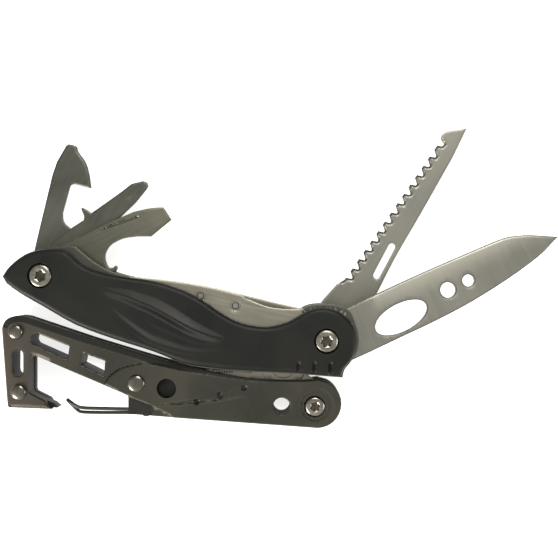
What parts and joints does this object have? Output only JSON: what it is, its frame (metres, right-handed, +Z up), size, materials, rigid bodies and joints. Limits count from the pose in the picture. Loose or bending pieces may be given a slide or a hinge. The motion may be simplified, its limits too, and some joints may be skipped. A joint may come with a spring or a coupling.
{
  "type": "folding multi tool",
  "caption": "Folding two-handled multi tool with pliers, knife, saw, can opener, drivers, bottle opener and a carabiner handle.",
  "frame": {"origin": "under the middle of the whole tool's bounding box, on the surface that it lies on", "axes": "+X along the handles towards the knife tip, +Y across the handles towards the open blades, +Z up through the thickness"},
  "size_m": [0.1674, 0.0912, 0.0164],
  "materials": {
    "scale": "satin black",
    "liner": "brushed",
    "blade": "satin ground",
    "dark_steel": "dark satin",
    "jaw_steel": "bead blasted",
    "bright_steel": "polished",
    "anodised": "dark anodised"
  },
  "bodies": {
    "upper_handle": {"scale_front": "scale", "scale_rear": "scale", "liner_front": "liner", "liner_rear": "liner", "frame_spacer": "dark_steel", "tool_spring": "bright_steel", "frame_rivets": "liner", "liner_rivets": "bright_steel", "blade_barrel": "liner", "blade_screws": "bright_steel", "blade_washers": "bright_steel", "tool_barrel": "liner", "tool_screws": "bright_steel", "tool_washers": "bright_steel", "tool_collars": "liner"},
    "knife": {"knife_blade": "blade"},
    "saw": {"saw_blade": "blade"},
    "can_opener": {"can_opener": "dark_steel"},
    "cross_driver": {"cross_driver": "dark_steel"},
    "flat_driver": {"flat_driver": "dark_steel"},
    "upper_jaw_tang": {"jaw_upper_tang": "jaw_steel", "jaw_rivet": "bright_steel"},
    "lower_jaw_tang": {"jaw_lower_tang": "jaw_steel"},
    "low_pivot": {"low_barrel": "liner", "low_screws": "bright_steel", "low_washers": "bright_steel"},
    "lower_handle": {"low_plate_front": "anodised", "low_plate_rear": "anodised", "low_core": "anodised", "low_rivets": "bright_steel", "gate_pin": "dark_steel"},
    "gate": {"gate_wire": "dark_steel"}
  },
  "joints": [
    {"name": "knife_fold", "type": "hinge", "parent": "upper_handle", "child": "knife", "pos_m": [0.01388, -0.01933, 0.008], "axis": [0, 0, 1], "range_deg": [0, 143]},
    {"name": "saw_fold", "type": "hinge", "parent": "upper_handle", "child": "saw", "pos_m": [0.01388, -0.01933, 0.008], "axis": [0, 0, 1], "range_deg": [0, 110]},
    {"name": "can_opener_fold", "type": "hinge", "parent": "upper_handle", "child": "can_opener", "pos_m": [-0.07152, 0.00017, 0.008], "axis": [0, 0, -1], "range_deg": [0, 90]},
    {"name": "cross_driver_fold", "type": "hinge", "parent": "upper_handle", "child": "cross_driver", "pos_m": [-0.07152, 0.00017, 0.008], "axis": [0, 0, -1], "range_deg": [0, 54]},
    {"name": "flat_driver_fold", "type": "hinge", "parent": "upper_handle", "child": "flat_driver", "pos_m": [-0.07152, 0.00017, 0.008], "axis": [0, 0, -1], "range_deg": [0, 34]},
    {"name": "head_swing", "type": "hinge", "parent": "upper_handle", "child": "upper_jaw_tang", "pos_m": [0.01388, -0.01933, 0.008], "axis": [0, 0, 1], "range_deg": [0, 60]},
    {"name": "jaw_open", "type": "hinge", "parent": "upper_jaw_tang", "child": "lower_jaw_tang", "pos_m": [0.00088, -0.02743, 0.008], "axis": [0, 0, -1], "range_deg": [0, 25]},
    {"name": "low_pivot_turn", "type": "hinge", "parent": "lower_jaw_tang", "child": "low_pivot", "pos_m": [0.01048, -0.03913, 0.008], "axis": [0, 0, 1], "range_deg": [0, 25]},
    {"name": "handle_fold", "type": "hinge", "parent": "low_pivot", "child": "lower_handle", "pos_m": [0.01048, -0.03913, 0.008], "axis": [0, 0, 1], "range_deg": [0, 180]},
    {"name": "gate_swing", "type": "hinge", "parent": "lower_handle", "child": "gate", "pos_m": [-0.04072, -0.04093, 0.008], "axis": [0, 0, -1], "range_deg": [0, 12], "stiffness_Nm_per_rad": 0.02}
  ],
  "couplings": [
    {"joint": "low_pivot_turn", "follows": "jaw_open", "ratio": 1}
  ]
}
